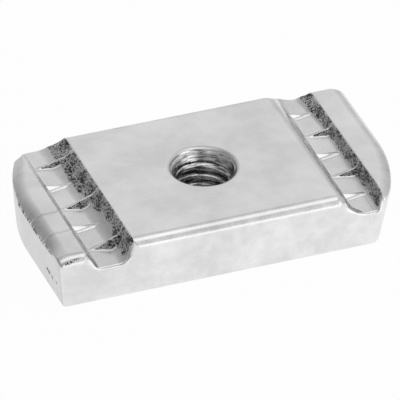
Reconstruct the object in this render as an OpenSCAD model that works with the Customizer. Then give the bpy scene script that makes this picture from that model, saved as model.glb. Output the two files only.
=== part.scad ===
// Plain channel nut: a twist-in strut nut pressed from flat bar, with a tapped hole,
// two toothed lip grooves and two corners rounded so that it can turn in the channel.
// X runs along the length, Y across the width, Z up along the thread axis.
// The origin is the centre of the underside. Sizes are in mm.

/* [Body] */
// overall length over the two ends
nut_length = 35; // [34:0.1:36.5]
// width of the flat bar
nut_width = 19; // [18:0.1:20.5]
// thickness from the underside to the middle land
nut_thickness = 5.8; // [5.5:0.1:9.5]
// lean of the end on the side of +X, inwards towards the underside, in degrees
draft_right = 10; // [6:0.5:12]
// lean of the end on the side of -X, inwards towards the underside, in degrees
draft_left = 5; // [3:0.5:9]

/* [Edges] */
// radius along the upper long edges
top_round = 0.85; // [0.5:0.05:1.1]
// radius along the lower long edges
bottom_round = 0.5; // [0.2:0.05:0.9]
// radius along the long edges where a groove runs out
groove_round = 0.2; // [0.1:0.05:0.6]
// radius of the upper edge at each end
end_round = 1.3; // [0.8:0.05:1.4]

/* [Lip grooves] */
// length of the middle land between the two grooves
land_length = 20.8; // [20:0.1:21.4]
// depth of the grooves below the middle land, at the middle of the width
groove_depth = 1.65; // [1.5:0.05:2]
// rise of the groove floors across the width, towards +Y
floor_tilt = 0.9; // [0.2:0.05:1.2]
// width of the floor of the groove on the side of +X
floor_right = 2.4; // [2.2:0.05:2.8]
// width of the floor of the groove on the side of -X, at the middle of the width
floor_left = 2.25; // [2:0.05:2.5]
// how far out the foot of the inner wall lies from its upper edge, on the side of +X
inner_slope_right = 0.95; // [0.6:0.05:1.2]
// how far out the foot of the inner wall lies from its upper edge, on the side of -X
inner_slope_left = 1.3; // [1:0.05:1.6]
// how much farther out that foot on the side of -X lies at +Y than at -Y
foot_skew = 0.75; // [0.2:0.05:1]
// how far in the foot of the outer wall lies from its upper edge, on the side of +X
outer_slope_right = 0.45; // [0.2:0.05:0.8]
// how far in the foot of the outer wall lies from its upper edge, on the side of -X
outer_slope_left = 0.95; // [0.6:0.05:1.1]
// how much lower the end lands are than the middle land
end_drop = 0.45; // [0.2:0.05:0.6]

/* [Teeth] */
// number of teeth on the inner wall of each groove
inner_teeth = 3; // [1:1:3]
// number of teeth on the outer wall of each groove
outer_teeth = 2; // [1:1:2]
// spacing of the teeth along a wall
tooth_pitch = 6.6; // [6:0.1:7.4]
// height of a tooth above the groove floor, where its crest meets the wall
tooth_height = 0.65; // [0.5:0.05:0.8]
// the same height for the taller teeth on the inner wall on the side of -X
tall_tooth = 0.9; // [0.7:0.05:1.1]
// angle between the two flanks of a tooth, in degrees
tooth_angle = 70; // [50:1:80]
// distance from the point of a tooth to the foot of the opposite wall
point_gap = 0.2; // [0.1:0.05:0.5]

/* [Thread] */
// nominal diameter of the thread
thread_d = 6; // [5:0.1:6.5]
// pitch of the thread
thread_pitch = 1; // [0.8:0.05:1.25]
// diameter of the countersunk mouth at each end of the hole
mouth_d = 6.1; // [6:0.1:6.6]
// radius of the rolled lip round each mouth
lip_round = 0.65; // [0.3:0.05:0.8]

/* [Hidden] */
$fn = 96;
steel = [0.80, 0.81, 0.82];

// overlap that keeps cutters and joined solids clear of shared faces
lap = 0.4;

// bore before threading: the nominal diameter less this share of the pitch
minor_share = 1.0825;
bore_d = thread_d - minor_share * thread_pitch;
mouth_slope = (mouth_d - bore_d) / 2;

// heights of the groove floor, at the middle of the width, and of the end lands
floor_z = nut_thickness - groove_depth;
end_z = nut_thickness - end_drop;

// slant of the groove floor in degrees, and its height at a place across the width
floor_slant = atan(floor_tilt / nut_width);
function floor_at(y) = floor_z + floor_tilt * y / nut_width;

// distances from the middle of the nut, along X
half_length = nut_length / 2;
half_width = nut_width / 2;
land_edge = land_length / 2;

// where the rounded upper corners of the groove floor leave the sides of the bar, in YZ, and
// the step from there to the slanting top on the side of +Y
function floor_corner(side) = [
    side * half_width,
    floor_at(side * (half_width - groove_round)) - groove_round / cos(floor_slant)
];
floor_touch = groove_round * [-1 - sin(floor_slant), cos(floor_slant)];

// distance from the thread axis to the corners of the middle land
land_reach = norm([land_edge, half_width]);

// sections across Y that the twisted groove walls run through
wall_steps = 12;
stations = [
    for (i = [0 : wall_steps])
        (half_width + lap) * (2 * i / wall_steps - 1)
];

// a groove: slope and skew of its inner wall, width of its floor, slope of its outer wall,
// height of the teeth on its inner wall
groove_right = [inner_slope_right, 0, floor_right, outer_slope_right, tooth_height];
groove_left = [inner_slope_left, foot_skew, floor_left, outer_slope_left, tall_tooth];

// feet of the walls of a groove, and the upper edge of its outer wall, along X
function inner_foot(groove, y) = land_edge + groove[0] + groove[1] * y / nut_width;
function outer_foot(groove) = land_edge + groove[0] + groove[2];
function outer_edge(groove) = outer_foot(groove) + groove[3];

// place along X at height z on a wall that rises from its foot on the floor to its upper edge
function wall_at(foot, edge, top, y, z) =
    edge + (foot - edge) * (top - z) / (top - floor_at(y));
function inner_wall(groove, y, z) =
    wall_at(inner_foot(groove, y), land_edge, nut_thickness, y, z);
function outer_wall(groove, y, z) =
    wall_at(outer_foot(groove), outer_edge(groove), end_z, y, z);

// lower and upper limits of the solids that the walls bound
wall_low = floor_at(-half_width - lap) - lap;
wall_high = nut_thickness + lap;

// corner of a square outside a quarter circle, placed with its corner at the origin
module corner_waste(r) {
    difference() {
        translate([-lap, -lap]) square(r + lap);
        translate([r, r]) circle(r);
    }
}

// bar section across Y of height h, with radius r at its upper corners
module bar_section(h, r) {
    difference() {
        translate([-half_width, 0]) square([nut_width, h]);
        for (side = [0, 1]) mirror([side, 0]) {
            translate([-half_width, 0]) corner_waste(bottom_round);
            translate([-half_width, h]) mirror([0, 1]) corner_waste(r);
        }
    }
}

// bar from x0 to x1 of height h, with its upper long edges rounded to radius r
module bar(x0, x1, h, r) {
    translate([x0, 0, 0]) rotate([90, 0, 90]) linear_extrude(x1 - x0) bar_section(h, r);
}

// section across Y of the bar under the grooves, with a slanting top
module floor_section() {
    difference() {
        union() {
            polygon([
                [-half_width, 0],
                [half_width, 0],
                floor_corner(1),
                floor_corner(1) + floor_touch,
                floor_corner(-1) + [2 * groove_round, 0] + floor_touch,
                floor_corner(-1)
            ]);
            for (side = [-1, 1])
                translate(floor_corner(side) - [side * groove_round, 0]) circle(groove_round);
        }
        for (side = [0, 1]) mirror([side, 0])
            translate([-half_width, 0]) corner_waste(bottom_round);
    }
}

// bar under the grooves, which reaches past both ends
module floor_bar() {
    translate([-half_length - lap, 0, 0]) rotate([90, 0, 90])
        linear_extrude(nut_length + 2 * lap) floor_section();
}

// solid that runs through a row of sections in XZ with as many points each, one per station
module loft(sections) {
    count = len(sections[0]);
    last = len(sections) - 1;
    points = [for (i = [0 : last]) for (p = sections[i]) [p[0], stations[i], p[1]]];
    sides = [
        for (i = [0 : last - 1]) for (j = [0 : count - 1])
            let (a = i * count + j, b = i * count + (j + 1) % count)
                each [[a, b, b + count], [a, b + count, a + count]]
    ];
    ends = [
        [for (j = [0 : count - 1]) count - 1 - j],
        [for (j = [0 : count - 1]) last * count + j]
    ];
    polyhedron(points, concat(sides, ends));
}

// middle land between the two inner groove walls
module middle_land() {
    intersection() {
        bar(-half_length, half_length, nut_thickness, top_round);
        loft([
            for (y = stations) [
                [-inner_wall(groove_left, y, wall_low), wall_low],
                [inner_wall(groove_right, y, wall_low), wall_low],
                [inner_wall(groove_right, y, wall_high), wall_high],
                [-inner_wall(groove_left, y, wall_high), wall_high]
            ]
        ]);
    }
}

// end land outside the outer wall of a groove on the side of +X
module end_land(groove) {
    outside = half_length + 2 * lap;
    intersection() {
        bar(land_edge, half_length + lap, end_z, top_round);
        loft([
            for (y = stations) [
                [outer_wall(groove, y, wall_low), wall_low],
                [outside, wall_low],
                [outside, wall_high],
                [outer_wall(groove, y, wall_high), wall_high]
            ]
        ]);
    }
}

// half profile of the nut from its axis to a leaning end, with a rounded upper edge
module end_profile(draft) {
    // the rounding reaches the full length, and touches the end land and the leaning end
    mid_x = half_length - end_round;
    mid_z = end_z - end_round;
    touch_x = mid_x + end_round * cos(draft);
    touch_z = mid_z - end_round * sin(draft);
    toe = touch_x - touch_z * tan(draft);
    union() {
        polygon([
            [0, 0],
            [toe, 0],
            [touch_x, touch_z],
            [mid_x, end_z],
            [0, end_z]
        ]);
        translate([mid_x, mid_z]) circle(end_round);
        square([land_reach, nut_thickness + lap]);
    }
}

// half of the outline on the side of +X: round about the thread axis, square at one corner
module half_outline(draft) {
    intersection() {
        rotate_extrude() end_profile(draft);
        translate([-lap, -half_length - lap, -lap])
            cube([half_length + 2 * lap, nut_length + 2 * lap, nut_thickness + 3 * lap]);
    }
    translate([0, half_width + lap, 0]) rotate([90, 0, 0])
        linear_extrude(half_width + lap) end_profile(draft);
}

// outline of the nut, with its two square corners opposite each other
module outline() {
    half_outline(draft_right);
    rotate([0, 0, 180]) half_outline(draft_left);
}

// one tooth: a ridge whose crest falls by rise from a wall at x0 to a point on the floor at x1
module tooth(x0, x1, y, rise) {
    fall = atan(rise / (x1 - x0));
    run = (x1 - x0) / cos(fall);
    depth = rise + lap;
    half_base = depth * tan(tooth_angle / 2);
    translate([x0, y, floor_at(y) + rise]) rotate([0, fall, 0]) rotate([90, 0, 90])
        translate([0, 0, -lap]) linear_extrude(run + 2 * lap)
            polygon([[0, 0], [-half_base, -depth], [half_base, -depth]]);
}

// places across the width of a row of teeth, spread evenly about the middle
function tooth_places(count) = [
    for (i = [0 : count - 1]) (i - (count - 1) / 2) * tooth_pitch
];

// both rows of teeth in a groove on the side of +X, pointing at each other
module groove_teeth(groove) {
    for (y = tooth_places(inner_teeth)) {
        rise = groove[4];
        tooth(
            inner_wall(groove, y, floor_at(y) + rise),
            outer_foot(groove) - point_gap, y, rise
        );
    }
    mirror([1, 0, 0]) for (y = tooth_places(outer_teeth)) {
        rise = min(tooth_height, end_z - floor_at(y));
        tooth(
            -outer_wall(groove, y, floor_at(y) + rise),
            -inner_foot(groove, y) - point_gap, y, rise
        );
    }
}

// what stands on the groove floor at one end, on the side of +X
module toothed_end(groove) {
    end_land(groove);
    groove_teeth(groove);
}

// countersunk mouth of the hole, with a rolled lip, at the underside
module mouth() {
    translate([0, 0, -lap]) cylinder(h = lip_round + lap, d = mouth_d);
    translate([0, 0, lip_round]) cylinder(h = mouth_slope, d1 = mouth_d, d2 = bore_d);
    rotate_extrude() translate([mouth_d / 2, 0]) corner_waste(lip_round);
}

// hole cut to the diameter before threading, with a mouth at both faces
module bore() {
    translate([0, 0, -lap]) cylinder(h = nut_thickness + 2 * lap, d = bore_d);
    mouth();
    translate([0, 0, nut_thickness]) mirror([0, 0, 1]) mouth();
}

module channel_nut() {
    color(steel) difference() {
        intersection() {
            union() {
                floor_bar();
                middle_land();
                toothed_end(groove_right);
                mirror([1, 0, 0]) toothed_end(groove_left);
            }
            outline();
        }
        bore();
    }
}

channel_nut();
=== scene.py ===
"""Channel nut: a twist-in strut nut of bright zinc-plated steel on a pale table.

Lengths in the properties are in metres, and the shaping functions work in millimetres.
X runs along the nut, Y across it and Z up along the thread axis.
"""

import math

import bpy
import numpy as np
from mathutils import Matrix, Vector


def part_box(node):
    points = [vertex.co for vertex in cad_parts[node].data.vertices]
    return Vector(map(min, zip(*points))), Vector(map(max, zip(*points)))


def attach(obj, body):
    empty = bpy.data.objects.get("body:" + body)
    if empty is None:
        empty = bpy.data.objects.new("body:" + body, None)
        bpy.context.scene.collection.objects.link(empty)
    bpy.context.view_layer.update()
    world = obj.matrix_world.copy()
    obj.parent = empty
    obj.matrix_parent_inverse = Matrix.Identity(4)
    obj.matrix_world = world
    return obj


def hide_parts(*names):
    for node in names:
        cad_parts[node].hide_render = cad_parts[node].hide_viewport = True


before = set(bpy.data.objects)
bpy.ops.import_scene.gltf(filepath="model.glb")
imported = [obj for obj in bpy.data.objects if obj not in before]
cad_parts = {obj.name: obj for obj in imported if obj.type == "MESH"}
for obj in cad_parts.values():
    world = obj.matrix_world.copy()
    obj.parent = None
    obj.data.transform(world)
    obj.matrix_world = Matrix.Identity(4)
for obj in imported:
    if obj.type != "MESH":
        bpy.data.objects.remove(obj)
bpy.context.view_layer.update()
NUT_LOW, NUT_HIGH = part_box("channel_nut")

bl_info = {
    "name": "Channel nut",
    "version": (1, 0, 0),
    "blender": (4, 5, 0),
    "location": "View3D > Sidebar > Channel nut",
    "description": "Builds a toothed strut channel nut and a small photo stage for it",
    "category": "Add Mesh",
}

MM = 0.001
NUT_TRIANGLES = 170000


def length_prop(name, description, millimetres):
    """A length property in metres, with its default given in millimetres."""
    return bpy.props.FloatProperty(
        name=name, description=description, default=millimetres * MM,
        min=0.0, precision=5, unit="LENGTH")


def angle_prop(name, description, degrees):
    """An angle property, with its default given in degrees."""
    return bpy.props.FloatProperty(
        name=name, description=description, default=math.radians(degrees), subtype="ANGLE")


def hex_to_linear(code):
    """An sRGB hex colour such as #C8C9CA as linear red, green and blue."""
    channels = [int(code[i:i + 2], 16) / 255.0 for i in (1, 3, 5)]
    return [c / 12.92 if c <= 0.04045 else ((c + 0.055) / 1.055) ** 2.4 for c in channels]


def colour_prop(name, description, code):
    """A colour property, with its default given as an sRGB hex value."""
    return bpy.props.FloatVectorProperty(
        name=name, description=description, default=hex_to_linear(code),
        min=0.0, max=1.0, size=3, subtype="COLOR")


class NutSizes(bpy.types.PropertyGroup):
    """Sizes of the nut."""

    length: length_prop("Length", "Overall length over the two ends",
                        (NUT_HIGH[0] - NUT_LOW[0]) / MM)
    width: length_prop("Width", "Width of the flat bar", (NUT_HIGH[1] - NUT_LOW[1]) / MM)
    thickness: length_prop("Thickness", "From the underside to the middle land",
                           (NUT_HIGH[2] - NUT_LOW[2]) / MM)
    draft_right: angle_prop("Right end draft", "Lean of the end at +X to the underside", 10.0)
    draft_left: angle_prop("Left end draft", "Lean of the end at -X to the underside", 5.0)
    end_shift: length_prop("End shift", "How far the sheared ends lie off centre to -X", 0.15)
    land_length: length_prop("Land length", "Middle land between the two grooves", 20.8)
    groove_depth: length_prop("Groove depth", "Groove floor below the middle land", 1.65)
    inner_foot_right: length_prop("Right inner foot", "Inner wall foot at +X", 11.35)
    inner_foot_left: length_prop("Left inner foot", "Inner wall foot at -X", 11.5)
    foot_skew: length_prop("Foot skew", "How far the left inner foot runs askew", 0.75)
    outer_foot_right: length_prop("Right outer foot", "Outer wall foot at +X", 13.75)
    outer_foot_left: length_prop("Left outer foot", "Outer wall foot at -X", 14.15)
    outer_edge_right: length_prop("Right outer edge", "Upper edge of the outer wall at +X", 14.2)
    outer_edge_left: length_prop("Left outer edge", "Upper edge of the outer wall at -X", 14.72)
    edge_skew: length_prop("Edge skew", "How far the left outer wall runs askew", 0.4)
    floor_tilt: length_prop("Floor tilt", "How much lower the groove floors are in front", 0.9)
    end_drop: length_prop("End drop", "End lands below the middle land", 0.45)
    end_tilt: length_prop("End tilt", "Drop of the left end land towards the back", 0.5)
    edge_round: length_prop("Edge radius", "Rounding of the upper long edges", 1.05)
    end_roll: length_prop("End roll", "Length over which the end lands roll down", 1.25)
    roll_drop: length_prop("Roll drop", "How far the end lands roll down", 0.9)
    groove_round: length_prop("Groove edge radius", "Rounding where a groove runs out", 0.3)
    corner_front: length_prop("Front corner radius", "Upright corners in front", 0.35)
    corner_back: length_prop("Back corner radius", "Upright corners at the back", 0.9)
    bottom_round: length_prop("Lower edge radius", "Rounding of the lower edges", 0.45)
    tooth_pitch: length_prop("Tooth pitch", "Spacing of the teeth along a wall", 6.6)
    tooth_height: length_prop("Tooth height", "Tooth above the groove floor at its wall", 0.65)
    tall_tooth: length_prop("Tall tooth", "Height of the teeth on the left inner wall", 1.2)
    tooth_angle: angle_prop("Tooth angle", "Angle between the two flanks of a tooth", 70.0)
    point_gap: length_prop("Point gap", "Tooth point to the opposite wall", 0.2)
    thread_diameter: length_prop("Thread", "Nominal diameter of the thread", 6.0)
    thread_pitch: length_prop("Thread pitch", "Pitch of the right-hand thread", 1.0)
    mouth_diameter: length_prop("Hole mouth", "Diameter of the countersunk mouth", 6.1)
    lip_round: length_prop("Lip radius", "Rolled lip round each mouth", 0.35)
    mesh_step: length_prop("Mesh step", "Spacing of the grid that the surface is drawn on", 0.1)


class NutFinish(bpy.types.PropertyGroup):
    """Colours of the plating."""

    zinc: colour_prop("Zinc", "Bright zinc on the smooth faces", "#F0F0F0")
    milky: colour_prop("Milky zinc", "Duller clouds in the plating", "#DDDDDD")
    sheared: colour_prop("Sheared ends", "Duller plating on the sheared ends", "#CECECE")
    # the same dark colour is painted shade on the front flanks of some teeth and along the front
    # edge of the left end land
    torn_and_shade: colour_prop("Torn steel", "Dull metal on the sheared groove walls", "#404040")


class StageSettings(bpy.types.PropertyGroup):
    """Floor, softboxes and room of the photo stage."""

    floor: colour_prop("Floor", "Colour of the table", "#F7F7F7")
    top_light: bpy.props.FloatProperty(
        name="Top softbox", description="Brightness of the overhead softbox", default=0.5)
    front_light: bpy.props.FloatProperty(
        name="Front softbox", description="Brightness of the low front softbox", default=0.75)
    key_light: bpy.props.FloatProperty(
        name="Key softbox", description="Brightness of the softbox on the right", default=0.6)
    fill_light: bpy.props.FloatProperty(
        name="Fill softbox", description="Brightness of the softbox on the left", default=0.5)
    room_left: bpy.props.FloatProperty(
        name="Room, left", description="Brightness of the dim side of the room", default=0.38)
    room_right: bpy.props.FloatProperty(
        name="Room, right", description="Brightness of the bright side of the room", default=0.87)


# Shaping: signed distances in millimetres, negative inside the metal

def common(a, b, r):
    """Inside both shapes, with the edge between them rounded to radius r."""
    return np.minimum(-r, np.maximum(a, b)) + np.hypot(np.maximum(r + a, 0), np.maximum(r + b, 0))


def joined(a, b, r):
    """Inside either shape, with the corner between them filled to radius r."""
    return np.maximum(r, np.minimum(a, b)) - np.hypot(np.maximum(r - a, 0), np.maximum(r - b, 0))


def ramp(value, start, end):
    """Smooth step from 0 at start to 1 at end."""
    t = np.clip((value - start) / (end - start), 0, 1)
    return t * t * (3 - 2 * t)


class NutShape:
    """The nut's surface as a signed distance, from its sizes in millimetres."""

    # edges and wall feet
    LAND_EDGE_ROUND = 0.16
    LAND_EDGE_SOFT = 0.7
    END_EDGE_ROUND = 0.12
    WALL_FOOT_ROUND = 0.3
    LEFT_FOOT_ROUND = 0.7
    LEFT_END_SOFT = 0.3
    RUN_OUT_RIGHT = 1.1
    RUN_OUT_LENGTH = 1.6
    # the right outer foot draws in at the back, and the left outer edge runs askew
    FOOT_DRAW = 0.5
    LEFT_EDGE_SKEW = 0.2
    # share of the roll on the right end, and how much of it the left end loses at the back
    RIGHT_ROLL = 0.55
    LEFT_ROLL_LOSS = 0.35
    # marks on the left end: ridges by their y, pits by their y, z and radius
    LEFT_RIDGES = (-1.75, -5.0)
    RIDGE_HEIGHT = 0.05
    RIDGE_WIDTH = 0.11
    LEFT_PITS = ((-5.7, 2.1, 0.16), (-6.2, 2.05, 0.2), (-7.0, 1.98, 0.12), (-8.1, 2.1, 0.13))
    # teeth
    CREST_ROUND = 0.08
    TOOTH_ROOT_ROUND = 0.2
    TOOTH_BELOW_LAND = 0.4
    TOOTH_BELOW_END = 0.1
    TOOTH_BURIED = 0.3
    # hole: a short chamfer under the lip, then a cone, then the thread
    MOUTH_ROUND = 0.05
    LIP_DEPTH = 0.28
    CHAMFER_DEPTH = 0.15
    CONE_SLOPE = 0.48
    THREAD_START = 0.2
    THREAD_CREST = 0.2
    THREAD_FADE = (0.7, 1.9)
    # the torn finish stops short of the front face
    TORN_FRONT = (-9.15, -8.8)
    LONGEST_STEP = 0.06

    def __init__(self, sizes):
        for name in sizes.__annotations__:
            value = getattr(sizes, name)
            angle = sizes.bl_rna.properties[name].subtype == "ANGLE"
            setattr(self, name, value if angle else value / MM)
        self.floor_z = self.thickness - self.groove_depth
        self.end_z = self.thickness - self.end_drop
        self.land_edge = self.land_length / 2
        self.half_width = self.width / 2

    def groove(self, x, y):
        """Feet of the inner and outer wall, and edge of the end land, on x's own side."""
        right = x > 0
        inner = np.where(right, self.inner_foot_right,
                         self.inner_foot_left + self.foot_skew * y / self.width)
        draw = self.FOOT_DRAW * ramp(y, 4, self.half_width)
        outer = np.where(right, self.outer_foot_right - draw,
                         self.outer_foot_left + self.edge_skew * y / self.width)
        edge = np.where(right, self.outer_edge_right,
                        self.outer_edge_left - self.LEFT_EDGE_SKEW * y / self.width)
        return inner, outer, edge

    def floor_height(self, y):
        """Groove floor, which the press left lower towards the front edge."""
        tilt = self.floor_tilt / 2 * y / self.half_width
        return self.floor_z + tilt

    def reach(self, x, y):
        """Distance towards the ends: round on one diagonal, straight on the other."""
        x = x + self.end_shift
        return np.where(x * y > 0, np.abs(x), np.hypot(x, y))

    def end_height(self, x, y):
        """End lands, which roll down to the sheared ends, and the steepness of that roll."""
        into = np.maximum(self.reach(x, y) - self.length / 2 + self.end_roll, 0) / self.end_roll
        left = x < 0
        tilt = np.where(left, self.end_tilt, 0) * ramp(y, 0, self.half_width)
        shallow = ((1 - ramp(-y, 4.5, self.half_width + 1))
                   * (1 - self.LEFT_ROLL_LOSS * ramp(y, -2, 5)))
        drop = self.roll_drop * np.where(left, shallow, self.RIGHT_ROLL)
        height = self.end_z - tilt - drop * into * into
        for ridge in self.LEFT_RIDGES:
            bead = np.exp(-((y - ridge) / self.RIDGE_WIDTH) ** 2)
            height = height + np.where(left, self.RIDGE_HEIGHT, 0) * bead
        return height, 2 * drop / self.end_roll * into

    def top(self, x, y, z):
        """Middle land, groove floors and end lands with their teeth."""
        along = np.abs(x)
        inner_foot, outer_foot, outer_edge = self.groove(x, y)
        floor = self.floor_height(y)
        lean_in = (inner_foot - self.land_edge) / (self.thickness - floor)
        lean_out = (outer_edge - outer_foot) / (self.end_z - floor)
        inner_wall = ((along - self.land_edge + (z - self.thickness) * lean_in)
                      / np.hypot(1, lean_in))
        outer_wall = ((outer_edge - along + (z - self.end_z) * lean_out)
                      / np.hypot(1, lean_out))
        run_out = ramp(np.abs(y), self.half_width - self.RUN_OUT_LENGTH, self.half_width)
        edge = np.where(x > 0, self.LAND_EDGE_SOFT, self.LAND_EDGE_ROUND)
        middle = common(z - self.thickness, inner_wall, edge)
        height, fall = self.end_height(x, y)
        end_edge = np.where(x > 0, self.LAND_EDGE_ROUND, self.LEFT_END_SOFT)
        end = common((z - height) / np.hypot(1, fall), outer_wall, end_edge)
        flare = self.WALL_FOOT_ROUND + (self.RUN_OUT_RIGHT - self.WALL_FOOT_ROUND) * run_out
        foot = np.where(x > 0, flare, self.LEFT_FOOT_ROUND)
        body = joined(joined(middle, z - floor, foot), end, self.WALL_FOOT_ROUND)
        inner_rise = np.minimum(np.where(x < 0, self.tall_tooth, self.tooth_height),
                                self.thickness - floor - self.TOOTH_BELOW_LAND)
        outer_rise = np.clip(height - floor - self.TOOTH_BELOW_END, 0.1, self.tooth_height)
        teeth = self.teeth(along, y, z - floor,
                           (inner_foot, lean_in, inner_rise), (outer_foot, lean_out, outer_rise))
        return joined(body, teeth, self.TOOTH_ROOT_ROUND)

    def ends(self, x, y, z):
        """Sheared ends that lean inwards to the underside."""
        lean = np.where(x > 0, self.draft_right, self.draft_left)
        edge_z = self.end_z - self.roll_drop
        return ((self.reach(x, y) - self.length / 2) * np.cos(lean)
                - (z - edge_z) * np.sin(lean))

    def off_crest(self, y):
        """Distance along the groove from the nearest tooth of the inner and the outer row."""
        inner_y = y - self.tooth_pitch * np.clip(np.round(y / self.tooth_pitch), -1, 1)
        return inner_y, np.abs(y) - self.tooth_pitch / 2

    def teeth(self, along, y, above, inner, outer):
        """Ridges whose crests fall from a groove wall to a point on the floor.

        inner and outer give the foot, the lean and the tooth height of each wall.
        """
        half = self.tooth_angle / 2
        inner_y, outer_y = self.off_crest(y)
        rows = ((inner_y, 1, inner[2],
                 inner[0] - inner[2] * inner[1], outer[0] - self.point_gap),
                (outer_y, -1, outer[2],
                 outer[0] + outer[2] * outer[1], inner[0] + self.point_gap))
        nearest = None
        for across, side, rise, root, point in rows:
            crest = rise * (point - along) / (point - root) + self.CREST_ROUND / math.tan(half)
            flank = (np.hypot(across, self.CREST_ROUND) * math.cos(half)
                     + (above - crest) * math.sin(half))
            flank = np.maximum(flank, (root - along) * side - self.TOOTH_BURIED)
            nearest = flank if nearest is None else np.minimum(nearest, flank)
        return nearest

    def hole(self, x, y, z):
        """Tapped hole with a right-hand thread that fades out at both mouths."""
        pitch = self.thread_pitch
        # the bore of a metric thread is 1.0825 pitches less than its nominal diameter
        minor = (self.thread_diameter - 1.0825 * pitch) / 2
        depth = self.thread_diameter / 2 - minor
        turn = (z + self.THREAD_START) / pitch - np.arctan2(y, x) / (2 * math.pi)
        from_ridge = np.abs(turn - np.round(turn)) * pitch
        r = self.THREAD_CREST
        on_crest = np.minimum(from_ridge, r * math.sin(math.radians(60)))
        groove = (r - np.sqrt(r * r - on_crest * on_crest)
                  + (from_ridge - on_crest) * math.tan(math.radians(60)))
        from_face = np.minimum(z, self.thickness - z)
        thread = minor + np.minimum(groove, depth) * ramp(from_face, *self.THREAD_FADE)
        below_lip = np.maximum(from_face - self.LIP_DEPTH, 0)
        mouth = (self.mouth_diameter / 2 - np.minimum(below_lip, self.CHAMFER_DEPTH)
                 - self.CONE_SLOPE * np.maximum(below_lip - self.CHAMFER_DEPTH, 0))
        # the flanks are steep, so the value is scaled down to stay close to a true distance
        return (np.maximum(thread, mouth) - np.hypot(x, y)) * 0.8

    def distance(self, x, y, z):
        """Signed distance from the nut's surface."""
        along = np.abs(x)
        inner_foot, outer_foot, outer_edge = self.groove(x, y)
        # the long edges are rounder along the lands than where a groove runs out
        in_groove = (ramp(along, self.land_edge - 0.3, inner_foot + 0.2)
                     * ramp(along, outer_edge + 0.2, outer_foot))
        r = self.edge_round + (self.groove_round - self.edge_round) * in_groove
        body = common(self.top(x, y, z), np.abs(y) - self.half_width, r)
        # the sheared ends are crisp, except at the upright corners
        corner = np.where(y > 0, self.corner_back, self.corner_front)
        at_side = ramp(np.abs(y), self.half_width - 1.2, self.half_width - 0.2)
        r = self.END_EDGE_ROUND + (corner - self.END_EDGE_ROUND) * at_side
        body = common(body, self.ends(x, y, z), r)
        body = common(body, -z, self.bottom_round)
        lip = np.where(np.hypot(x, y) < self.half_width / 2, self.lip_round, self.MOUTH_ROUND)
        return np.maximum(common(body, self.hole(x, y, z), lip), self.pits(x, y, z))

    def pits(self, x, y, z):
        """Small dents in the left end, as the space outside them."""
        deepest = -1.0
        for at_y, at_z, r in self.LEFT_PITS:
            # the draft sets the end back by 0.2 mm at this height
            at_x = -self.length / 2 - self.end_shift + 0.2 - 0.5 * r
            gap = np.sqrt((x - at_x) ** 2 + (y - at_y) ** 2 + (z - at_z) ** 2)
            deepest = np.maximum(deepest, r - gap)
        return deepest

    def slope(self, points, h=0.01):
        """Gradient of the distance at an array of points."""
        x, y, z = points.T
        return np.stack([
            self.distance(x + h, y, z) - self.distance(x - h, y, z),
            self.distance(x, y + h, z) - self.distance(x, y - h, z),
            self.distance(x, y, z + h) - self.distance(x, y, z - h)], axis=1) / (2 * h)

    def settled(self, points, passes=3):
        """Points moved onto the surface, and the surface's unit normals there."""
        for _ in range(passes):
            g = self.slope(points)
            d = self.distance(*points.T)
            step = np.clip(d / np.maximum((g * g).sum(axis=1), 0.2),
                           -self.LONGEST_STEP, self.LONGEST_STEP)
            points = points - g * step[:, None]
        g = self.slope(points)
        return points, g / np.maximum(np.linalg.norm(g, axis=1), 1e-6)[:, None]

    def torn_and_shade(self, points, normals):
        """How torn and dull the surface is, from 0 on smooth plating to 1.

        It is highest at the upper edge of the sheared groove walls. It also carries painted shade:
        the dark near the wall on the front flanks of some teeth, and a dark band along the front
        edge of the left end land.
        """
        x, y, z = points.T
        along = np.abs(x)
        inner_foot, outer_foot, outer_edge = self.groove(x, y)
        floor = self.floor_height(y)
        top = np.where(x < 0, self.thickness, self.end_z)
        up = np.clip((z - floor) / (top - floor), 0, 1)
        run = np.where(x < 0, inner_foot - self.land_edge, outer_edge - outer_foot)
        out = np.where(x < 0, along - self.land_edge, outer_edge - along) - run * (1 - up)
        near = 1 - ramp(out, 0.15, 0.6)
        edge = np.where(x < 0, along - self.land_edge, outer_edge - along)
        # the press smeared the lower part of the left wall smooth again in one place
        smear = 0.72 * np.exp(-((y + 3.5) / 2.2) ** 2) * ramp(up, 0.6, 0.38)
        # at the back the left wall is torn almost down to its foot
        full = np.where(x < 0, 0.6 - 0.4 * ramp(y, 5.5, 8), 0.4)
        cover = ramp(up, 0.0, full) - np.where(x < 0, smear, 0.0)
        wall = (np.maximum(cover, 0) * near * ramp(edge, -0.12, 0.0)
                * ramp(normals[:, 2], 0.97, 0.9) * ramp(y, *self.TORN_FRONT))
        # the front flanks of the teeth that fall to -X are darkened near the wall: partly dull
        # metal with specks, partly painted shade for the dark reflection that these flanks show
        flank = (0.9 * ramp(-normals[:, 1], 0.5, 0.65) * ramp(-normals[:, 0], 0.03, 0.1)
                 * ramp(along, inner_foot - 0.9, inner_foot - 0.5)
                 * ramp(along, outer_edge + 0.1, outer_foot) * ramp(y, *self.TORN_FRONT))
        wall = np.maximum(wall, flank)
        # the dark finish and its painted shade stop short of the crests of the teeth, which stay
        # bright zinc
        across = np.where(x < 0, *self.off_crest(y))
        wall = wall * ramp(np.abs(across), 0.05, 0.2)
        # the shear left a thin burr along the left end
        off_edge = np.hypot(self.ends(x, y, z), z - self.end_height(x, y)[0])
        burr = 0.45 * ramp(off_edge, 0.16, 0.05) * (x < 0) * ramp(y, 3.5, 1) * ramp(y, -8.5, -7)
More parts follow.
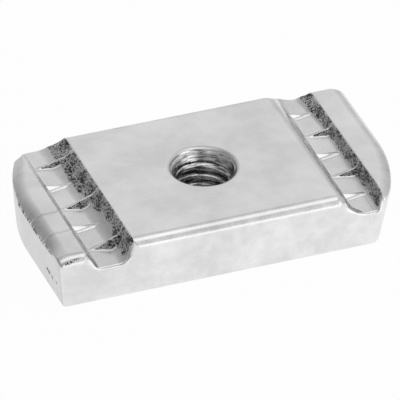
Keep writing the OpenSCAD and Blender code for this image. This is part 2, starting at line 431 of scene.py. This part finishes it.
        # painted shade: a dark band for the dip between the two highlights of the rounded edge,
        # on a slightly rising line along the front edge of the left end land
        off_line = np.abs(z - 4.8 - 0.155 * (x + 17.15))
        painted_fillet_dip = (0.35 * ramp(off_line, 0.16, 0.06) * ramp(x, -17.3, -17.0)
                 * ramp(x, -15.2, -15.5) * ramp(y, -9.0, -9.2))
        # the dents are dull inside
        dents = ramp(self.pits(x, y, z), -0.06, -0.01)
        return np.maximum(np.maximum(wall, np.maximum(burr, painted_fillet_dip)), dents)


def surface_net(field, origin, step):
    """Vertices and outward quads of the zero surface of a grid of distances."""
    inside = field < 0
    cells = tuple(n - 1 for n in field.shape)
    total = np.zeros(cells + (3,), np.float32)
    count = np.zeros(cells, np.int8)
    crossings = []
    for axis in range(3):
        low = [slice(None)] * 3
        high = [slice(None)] * 3
        low[axis], high[axis] = slice(0, -1), slice(1, None)
        a, b = field[tuple(low)], field[tuple(high)]
        edge = np.argwhere(inside[tuple(low)] != inside[tuple(high)])
        at = tuple(edge.T)
        place = edge.astype(np.float32)
        place[:, axis] += a[at] / (a[at] - b[at])
        crossings.append((axis, edge, inside[tuple(low)][at]))
        u, v = [k for k in range(3) if k != axis]
        for du in (0, 1):
            for dv in (0, 1):
                cell = edge.copy()
                cell[:, u] -= du
                cell[:, v] -= dv
                key = tuple(cell.T)
                np.add.at(total, key, place)
                np.add.at(count, key, 1)
    number = np.full(cells, -1, np.int64)
    used = np.argwhere(count > 0)
    number[tuple(used.T)] = np.arange(len(used))
    key = tuple(used.T)
    points = origin + step * total[key] / count[key][:, None]
    quads = []
    for axis, edge, starts_inside in crossings:
        u, v = (axis + 1) % 3, (axis + 2) % 3
        ring = []
        for du, dv in ((0, 0), (1, 0), (1, 1), (0, 1)):
            cell = edge.copy()
            cell[:, u] -= du
            cell[:, v] -= dv
            ring.append(number[tuple(cell.T)])
        ring = np.stack(ring, axis=1)
        quads.append(np.where(starts_inside[:, None], ring, ring[:, ::-1]))
    return points, np.concatenate(quads)


def nut_mesh(shape):
    """Mesh of the nut: dense where it curves, sparse where it is flat."""
    step = shape.mesh_step
    half = np.array([shape.length / 2, shape.width / 2, shape.thickness / 2])
    low = np.array([0, 0, half[2]]) - half - 2.5 * step
    size = np.ceil((2 * half + 5 * step) / step).astype(int) + 1
    x, y, z = (low[k] + step * np.arange(size[k], dtype=np.float32) for k in range(3))
    field = np.concatenate([
        shape.distance(part[:, None, None], y[None, :, None], z[None, None, :])
        for part in np.array_split(x, 12)]).astype(np.float32)
    points, quads = surface_net(field, low, step)
    points, _ = shape.settled(points)
    mesh = bpy.data.meshes.new("nut_dense")
    mesh.from_pydata((points * MM).tolist(), [], quads.tolist())
    dense = bpy.data.objects.new("nut_dense", mesh)
    bpy.context.scene.collection.objects.link(dense)
    thin = dense.modifiers.new("thin", "DECIMATE")
    thin.ratio = NUT_TRIANGLES / (2 * len(quads))
    ready = dense.evaluated_get(bpy.context.evaluated_depsgraph_get())
    result = bpy.data.meshes.new_from_object(ready)
    result.name = "channel_nut_mesh"
    bpy.data.objects.remove(dense)
    bpy.data.meshes.remove(mesh)

    points = np.empty(len(result.vertices) * 3)
    result.vertices.foreach_get("co", points)
    points, normals = shape.settled(points.reshape(-1, 3) / MM)
    result.vertices.foreach_set("co", (points * MM).ravel())
    result.shade_smooth()
    result.normals_split_custom_set_from_vertices(normals.tolist())
    # torn metal, and painted shade on the tooth flanks and along the left end land
    torn_and_shade = result.attributes.new("torn_and_shade", "FLOAT", "POINT")
    torn_and_shade.data.foreach_set("value", shape.torn_and_shade(points, normals))
    tapped = result.attributes.new("tapped", "FLOAT", "POINT")
    tapped.data.foreach_set("value", ramp(np.hypot(points[:, 0], points[:, 1]), 3.2, 3.0))
    result.update()
    return result


# Materials

def add_node(tree, kind, settings=None, **links):
    """Adds a node, sets its properties and inputs, and links the inputs that are given sockets.

    Inputs are named with underscores for spaces, or in settings by name or number.
    """
    node = tree.nodes.new(kind)
    for key, value in (settings or {}).items():
        if isinstance(key, str) and hasattr(node, key):
            setattr(node, key, value)
        else:
            node.inputs[key].default_value = value
    for key, value in links.items():
        socket = node.inputs[int(key[1:]) if key[1:].isdigit() else key.replace("_", " ")]
        tree.links.new(value, socket)
    return node


def new_material(name):
    """An empty node material and its node tree."""
    material = bpy.data.materials.new(name)
    material.use_nodes = True
    material.node_tree.nodes.clear()
    return material, material.node_tree


def zinc_plated_steel(finish):
    """Bright zinc-plated steel.

    Rolled bar that was pressed, tapped and barrel plated: a bright, slightly milky metal
    with faint mottling, and dull, grainy walls where the press sheared the grooves.
    The same dark finish is also painted shade on the front flanks of some teeth
    and along the front edge of the left end land.
    """
    material, tree = new_material("bright zinc-plated steel")
    place = add_node(tree, "ShaderNodeTexCoord").outputs["Object"]
    torn_and_shade = add_node(tree, "ShaderNodeAttribute", {"attribute_name": "torn_and_shade"}).outputs["Fac"]

    # clouds of 5 mm and mottling of 1.2 mm on all faces
    # torn walls: grain of 0.19 mm, in patches about 1.1 mm across
    cloud = add_node(tree, "ShaderNodeTexNoise",
                     {"Scale": 1 / 0.005, "Detail": 2.0}, Vector=place)
    mottle = add_node(tree, "ShaderNodeTexNoise",
                      {"Scale": 1 / 0.0012, "Detail": 4.0, "Roughness": 0.65}, Vector=place)
    grain = add_node(tree, "ShaderNodeTexNoise",
                     {"Scale": 1 / 0.00019, "Detail": 4.0, "Roughness": 0.7}, Vector=place)
    patch = add_node(tree, "ShaderNodeTexNoise",
                     {"Scale": 1 / 0.0011, "Detail": 2.0}, Vector=place)

    # the torn zone: solid along the upper edge of a wall, ragged towards its foot
    ragged = add_node(tree, "ShaderNodeMath", {"operation": "MULTIPLY_ADD", 1: 1.4},
                      _0=patch.outputs["Fac"], _2=torn_and_shade)
    ragged = add_node(tree, "ShaderNodeMath", {"operation": "MULTIPLY_ADD", 1: 0.6},
                      _0=grain.outputs["Fac"], _2=ragged.outputs[0])
    ragged = add_node(tree, "ShaderNodeMapRange", {"From Min": 1.1, "From Max": 1.25},
                      Value=ragged.outputs[0])
    on_wall = add_node(tree, "ShaderNodeMapRange",
                       {"From Min": 0.04, "From Max": 0.14}, Value=torn_and_shade)
    dull_and_shade = add_node(tree, "ShaderNodeMath", {"operation": "MULTIPLY"},
                    _0=ragged.outputs["Result"], _1=on_wall.outputs["Result"]).outputs[0]

    speck = add_node(tree, "ShaderNodeMath", {"operation": "MULTIPLY_ADD", 1: -0.35},
                     _0=patch.outputs["Fac"], _2=grain.outputs["Fac"])
    speck = add_node(tree, "ShaderNodeMapRange",
                     {"From Min": 0.265, "From Max": 0.365}, Value=speck.outputs[0])
    # fewer specks along the upper edge
    sparse = add_node(tree, "ShaderNodeMath", {"operation": "MULTIPLY_ADD", 1: -0.6, 2: 1.35},
                      _0=torn_and_shade)
    speck = add_node(tree, "ShaderNodeMath", {"operation": "MULTIPLY", "use_clamp": True},
                     _0=speck.outputs["Result"], _1=sparse.outputs[0])
    speckled = add_node(tree, "ShaderNodeMix",
                        {"data_type": "RGBA", 6: (*finish.torn_and_shade, 1), 7: (*finish.zinc, 1)},
                        Factor=speck.outputs[0])
    milky = add_node(tree, "ShaderNodeMath", {"operation": "MULTIPLY_ADD", 1: 1.0},
                     _0=cloud.outputs["Fac"], _2=mottle.outputs["Fac"])
    milky = add_node(tree, "ShaderNodeMapRange", {"From Min": 0.75, "From Max": 1.25},
                     Value=milky.outputs[0])
    plate = add_node(tree, "ShaderNodeMix",
                     {"data_type": "RGBA", 6: (*finish.milky, 1), 7: (*finish.zinc, 1)},
                     Factor=milky.outputs["Result"])
    # the sheared ends face along X
    facing = add_node(tree, "ShaderNodeSeparateXYZ",
                      Vector=add_node(tree, "ShaderNodeNewGeometry").outputs["Normal"])
    facing = add_node(tree, "ShaderNodeMath", {"operation": "ABSOLUTE"}, _0=facing.outputs["X"])
    at_end = add_node(tree, "ShaderNodeMapRange", {"From Min": 0.76, "From Max": 0.9},
                      Value=facing.outputs[0])
    plate = add_node(tree, "ShaderNodeMix", {"data_type": "RGBA", 7: (*finish.sheared, 1)},
                     Factor=at_end.outputs["Result"], _6=plate.outputs[2])
    # the tap left dull streaks round the hole, 1.2 mm long and 0.15 mm high
    tapped = add_node(tree, "ShaderNodeAttribute", {"attribute_name": "tapped"}).outputs["Fac"]
    long = add_node(tree, "ShaderNodeMapping", {"Scale": (1.0, 1.0, 8.0)}, Vector=place)
    streak = add_node(tree, "ShaderNodeTexNoise", {"Scale": 1 / 0.0012, "Detail": 3.0},
                      Vector=long.outputs["Vector"])
    streak = add_node(tree, "ShaderNodeMapRange",
                      {"From Min": 0.46, "From Max": 0.58, "To Max": 0.8},
                      Value=streak.outputs["Fac"])
    streak = add_node(tree, "ShaderNodeMath", {"operation": "MULTIPLY"},
                      _0=streak.outputs["Result"], _1=tapped)
    plate = add_node(tree, "ShaderNodeMix", {"data_type": "RGBA", 7: (*finish.torn_and_shade, 1)},
                     Factor=streak.outputs[0], _6=plate.outputs[2])
    # dark where the metal is torn, and painted shade on the tooth flanks and along the left end
    # land
    colour = add_node(tree, "ShaderNodeMix", {"data_type": "RGBA"},
                      Factor=dull_and_shade, _6=plate.outputs[2], _7=speckled.outputs[2])

    smooth = add_node(tree, "ShaderNodeMapRange",
                      {"From Min": 0.3, "From Max": 0.7, "To Min": 0.22, "To Max": 0.32},
                      Value=mottle.outputs["Fac"])
    rough = add_node(tree, "ShaderNodeMix", {"data_type": "FLOAT", 3: 0.36},
                     Factor=dull_and_shade, _2=smooth.outputs["Result"])

    ripple = add_node(tree, "ShaderNodeBump", {"Strength": 0.12, "Distance": 0.0001},
                      Height=mottle.outputs["Fac"])
    depth = add_node(tree, "ShaderNodeMath", {"operation": "MULTIPLY", 1: 0.9}, _0=dull_and_shade)
    bump = add_node(tree, "ShaderNodeBump", {"Distance": 0.0004},
                    Strength=depth.outputs[0], Height=grain.outputs["Fac"],
                    Normal=ripple.outputs["Normal"])

    shader = add_node(tree, "ShaderNodeBsdfPrincipled", {"Metallic": 1.0},
                      Base_Color=colour.outputs[2], Roughness=rough.outputs[0],
                      Normal=bump.outputs["Normal"])
    add_node(tree, "ShaderNodeOutputMaterial", Surface=shader.outputs["BSDF"])
    return material


def white_table(stage):
    """Matt white table, shown nearly white to the camera and in the metal, with its shadow."""
    material, tree = new_material("matt white table")
    rays = add_node(tree, "ShaderNodeLightPath").outputs
    seen = add_node(tree, "ShaderNodeMath", {"operation": "MAXIMUM"},
                    _0=rays["Is Camera Ray"], _1=rays["Is Glossy Ray"])
    seen = add_node(tree, "ShaderNodeMath", {"operation": "MAXIMUM"},
                    _0=seen.outputs[0], _1=rays["Is Transmission Ray"])
    share = add_node(tree, "ShaderNodeMath", {"operation": "MULTIPLY", 1: 0.97},
                     _0=seen.outputs[0])
    # the table under the hole lies in the nut's own shadow
    middle = add_node(tree, "ShaderNodeVectorMath", {"operation": "LENGTH"},
                      _0=add_node(tree, "ShaderNodeTexCoord").outputs["Object"])
    clear = add_node(tree, "ShaderNodeMapRange", {"From Min": 0.003, "From Max": 0.006},
                     Value=middle.outputs["Value"])
    share = add_node(tree, "ShaderNodeMath", {"operation": "MULTIPLY"},
                     _0=share.outputs[0], _1=clear.outputs["Result"])
    matt = add_node(tree, "ShaderNodeBsdfDiffuse", {"Color": (*stage.floor, 1)})
    white = add_node(tree, "ShaderNodeEmission", {"Color": (1, 1, 1, 1), "Strength": 1.0})
    mixed = add_node(tree, "ShaderNodeMixShader", _0=share.outputs[0],
                     _1=matt.outputs[0], _2=white.outputs[0])
    add_node(tree, "ShaderNodeOutputMaterial", Surface=mixed.outputs[0])
    return material


# Operators

class CHANNELNUT_OT_nut(bpy.types.Operator):
    """Build the channel nut with its thread, grooves, teeth and plating"""

    bl_idname = "channel_nut.nut"
    bl_label = "Build nut"
    bl_options = {"REGISTER", "UNDO"}

    def execute(self, context):
        shape = NutShape(context.scene.channel_nut_sizes)
        nut = bpy.data.objects.new("nut", nut_mesh(shape))
        context.scene.collection.objects.link(nut)
        nut.data.materials.append(zinc_plated_steel(context.scene.channel_nut_finish))
        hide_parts("channel_nut")
        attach(nut, "root")
        return {"FINISHED"}


def softbox(name, toward, distance, size, brightness):
    """Area lamp of even brightness that faces the nut from a direction."""
    lamp = bpy.data.lights.new(name, "AREA")
    lamp.shape = "RECTANGLE"
    lamp.size, lamp.size_y = size
    lamp.energy = brightness * math.pi * size[0] * size[1]
    box = bpy.data.objects.new(name, lamp)
    direction = Vector(toward).normalized()
    box.matrix_world = (Matrix.Translation(direction * distance)
                        @ direction.to_track_quat("Z", "Y").to_matrix().to_4x4())
    box.visible_camera = False
    bpy.context.scene.collection.objects.link(box)
    return box


class CHANNELNUT_OT_stage(bpy.types.Operator):
    """Set up the table, the softboxes, the room and the camera"""

    bl_idname = "channel_nut.stage"
    bl_label = "Set up stage"
    bl_options = {"REGISTER", "UNDO"}

    def execute(self, context):
        scene = context.scene
        stage = scene.channel_nut_stage
        scene.view_settings.view_transform = "Standard"
        self.table(scene, stage)
        self.lights(scene, stage)
        self.camera(scene)
        return {"FINISHED"}

    def table(self, scene, stage):
        half = 6.0
        mesh = bpy.data.meshes.new("table")
        mesh.from_pydata([(-half, -half, 0), (half, -half, 0), (half, half, 0), (-half, half, 0)],
                         [], [(0, 1, 2, 3)])
        table = bpy.data.objects.new("table", mesh)
        table.location.z = -0.00002
        table.data.materials.append(white_table(stage))
        scene.collection.objects.link(table)

    def lights(self, scene, stage):
        softbox("top softbox", (0.25, -0.2, 0.95), 0.8, (0.9, 0.3), stage.top_light)
        softbox("front softbox", (0.5, -0.85, 0.15), 0.8, (1.0, 0.32), stage.front_light)
        softbox("key softbox", (0.62, -0.64, 0.45), 0.8, (0.46, 0.38), stage.key_light)
        softbox("fill softbox", (-0.3, -0.6, 0.74), 0.8, (0.36, 0.3), stage.fill_light)
        # a pale room that is dim on the left, as in a light tent with one open side
        world = bpy.data.worlds.new("light tent")
        world.use_nodes = True
        tree = world.node_tree
        tree.nodes.clear()
        toward = add_node(tree, "ShaderNodeTexCoord").outputs["Generated"]
        side = add_node(tree, "ShaderNodeSeparateXYZ", Vector=toward)
        glow = add_node(tree, "ShaderNodeMapRange",
                        {"From Min": -0.5, "From Max": 0.35,
                         "To Min": stage.room_left, "To Max": stage.room_right},
                        Value=side.outputs["X"])
        # it dims towards the far right and the horizon, and is dark round the lens opening
        aside = add_node(tree, "ShaderNodeMapRange",
                         {"From Min": 0.4, "From Max": 0.8, "To Min": 1.0, "To Max": 0.75},
                         Value=side.outputs["X"])
        low = add_node(tree, "ShaderNodeMapRange",
                       {"From Min": 0.0, "From Max": 0.5, "To Min": 0.65, "To Max": 1.0},
                       Value=side.outputs["Z"])
        lens = add_node(tree, "ShaderNodeVectorMath",
                        {"operation": "DOT_PRODUCT", 1: Vector((-0.03, -0.84, 0.53)).normalized()},
                        _0=toward)
        opening = add_node(tree, "ShaderNodeMapRange",
                           {"From Min": 0.91, "From Max": 0.96, "To Min": 1.0, "To Max": 0.4},
                           Value=lens.outputs["Value"])
        # it is dimmer high up, below the roof
        high = add_node(tree, "ShaderNodeMapRange",
                        {"From Min": 0.6, "From Max": 0.75, "To Min": 1.0, "To Max": 0.7},
                        Value=side.outputs["Z"])
        glow = glow.outputs["Result"]
        for factor in (aside, low, high, opening):
            glow = add_node(tree, "ShaderNodeMath", {"operation": "MULTIPLY"},
                            _0=glow, _1=factor.outputs["Result"]).outputs[0]
        # the roof of the tent is bright from side to side
        roof = add_node(tree, "ShaderNodeMapRange",
                        {"From Min": 0.7, "From Max": 0.9, "To Min": 0.0, "To Max": 0.75},
                        Value=side.outputs["Z"])
        ahead = add_node(tree, "ShaderNodeMapRange",
                         {"From Min": 0.1, "From Max": 0.4, "To Min": 1.0, "To Max": 0.0},
                         Value=side.outputs["Y"])
        roof = add_node(tree, "ShaderNodeMath", {"operation": "MULTIPLY"},
                        _0=roof.outputs["Result"], _1=ahead.outputs["Result"])
        glow = add_node(tree, "ShaderNodeMath", {"operation": "MAXIMUM"},
                        _0=glow, _1=roof.outputs[0])
        shade = add_node(tree, "ShaderNodeBackground", {"Color": (1, 1, 1, 1)},
                         Strength=glow.outputs[0])
        add_node(tree, "ShaderNodeOutputWorld", Surface=shade.outputs[0])
        scene.world = world

    def camera(self, scene):
        # a long lens, placed in front, to the left and above, so that the nut fills the picture
        around, above, roll = (math.radians(a) for a in (21.72, 34.02, 1.01))
        distance, focal_pixels, picture_pixels = 0.78854, 8500, 400
        back = Vector((-math.sin(around) * math.cos(above),
                       -math.cos(around) * math.cos(above), math.sin(above)))
        level = Vector((math.cos(around), -math.sin(around), 0))
        upright = back.cross(level)
        right = level * math.cos(roll) + upright * math.sin(roll)
        up = upright * math.cos(roll) - level * math.sin(roll)
        aim = (right * -0.206 + up * 1.693) * MM
        lens = bpy.data.cameras.new("camera")
        lens.sensor_width = 36.0
        lens.lens = focal_pixels / picture_pixels * lens.sensor_width
        lens.clip_start, lens.clip_end = 0.01, 50.0
        camera = bpy.data.objects.new("camera", lens)
        camera.matrix_world = (Matrix.Translation(aim + back * distance)
                               @ Matrix((right, up, back)).transposed().to_4x4())
        scene.collection.objects.link(camera)
        scene.camera = camera


class CHANNELNUT_PT_panel(bpy.types.Panel):
    """Lists the nut's sizes, finish and stage, with their operators"""

    bl_idname = "CHANNELNUT_PT_panel"
    bl_label = "Channel nut"
    bl_space_type = "VIEW_3D"
    bl_region_type = "UI"
    bl_category = "Channel nut"

    def draw(self, context):
        layout = self.layout
        scene = context.scene
        for group, operator in ((scene.channel_nut_sizes, CHANNELNUT_OT_nut),
                                (scene.channel_nut_finish, None),
                                (scene.channel_nut_stage, CHANNELNUT_OT_stage)):
            column = layout.column(align=True)
            for name in group.__annotations__:
                column.prop(group, name)
            if operator:
                layout.operator(operator.bl_idname)


CLASSES = (NutSizes, NutFinish, StageSettings,
           CHANNELNUT_OT_nut, CHANNELNUT_OT_stage, CHANNELNUT_PT_panel)
GROUPS = {"channel_nut_sizes": NutSizes,
          "channel_nut_finish": NutFinish,
          "channel_nut_stage": StageSettings}


def register():
    for cls in CLASSES:
        bpy.utils.register_class(cls)
    for name, group in GROUPS.items():
        setattr(bpy.types.Scene, name, bpy.props.PointerProperty(type=group))


def unregister():
    for name in GROUPS:
        delattr(bpy.types.Scene, name)
    for cls in reversed(CLASSES):
        bpy.utils.unregister_class(cls)


def main():
    register()
    bpy.ops.channel_nut.nut()
    bpy.ops.channel_nut.stage()


if __name__ == "__main__":
    main()
